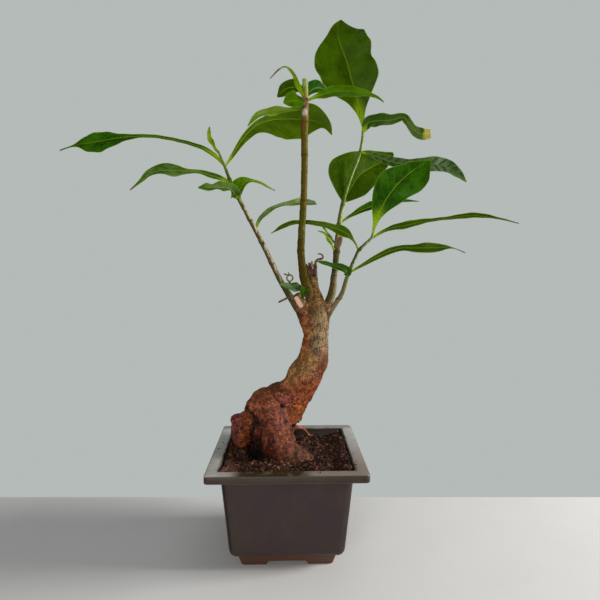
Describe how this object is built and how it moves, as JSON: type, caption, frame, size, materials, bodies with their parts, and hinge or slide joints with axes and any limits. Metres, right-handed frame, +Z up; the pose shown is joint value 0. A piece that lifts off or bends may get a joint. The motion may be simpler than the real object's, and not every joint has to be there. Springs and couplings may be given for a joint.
{
  "type": "potted baobab bonsai",
  "caption": "Young baobab bonsai with a swollen root, upright green stems and lance-shaped leaves, in a square plastic pot with a flat rim and feet.",
  "frame": {"origin": "under the middle of the pot, on the surface that its four feet rest on", "axes": "+Z up, along the plant's height; -Y is the front that the picture shows; +X to its right, along the plant's spread"},
  "size_m": [0.4803, 0.15, 0.5567],
  "materials": {
    "pot_plastic": "satin",
    "potting_soil": "matte",
    "bark": "satin",
    "stem_bark": "satin",
    "leaf": "satin"
  },
  "bodies": {
    "root": {"pot": "pot_plastic", "soil": "potting_soil", "trunk": "bark", "stem_left": "stem_bark", "stem_leader": "stem_bark", "stem_inner": "stem_bark", "stem_right": "stem_bark", "bud_left": "leaf", "leaf_left_long": "leaf", "leaf_left_low": "leaf", "leaf_left_folded": "leaf", "leaf_left_hook": "leaf", "leaf_left_arch": "leaf", "leaf_left_inner": "leaf", "leaf_base_left": "leaf", "leaf_base_front": "leaf", "leaf_leader_curl": "leaf", "leaf_leader_back": "leaf", "leaf_leader_far": "leaf", "leaf_leader_small": "leaf", "leaf_leader_right": "leaf", "leaf_leader_left": "leaf", "leaf_inner_top": "leaf", "leaf_inner_droop": "leaf", "leaf_inner_round": "leaf", "leaf_inner_striped": "leaf", "leaf_inner_hidden": "leaf", "leaf_right_glossy": "leaf", "leaf_right_long": "leaf", "leaf_right_low": "leaf", "leaf_right_across": "leaf", "leaf_right_short": "leaf", "sprout_high": "leaf", "sprout_low": "leaf"}
  },
  "joints": []
}
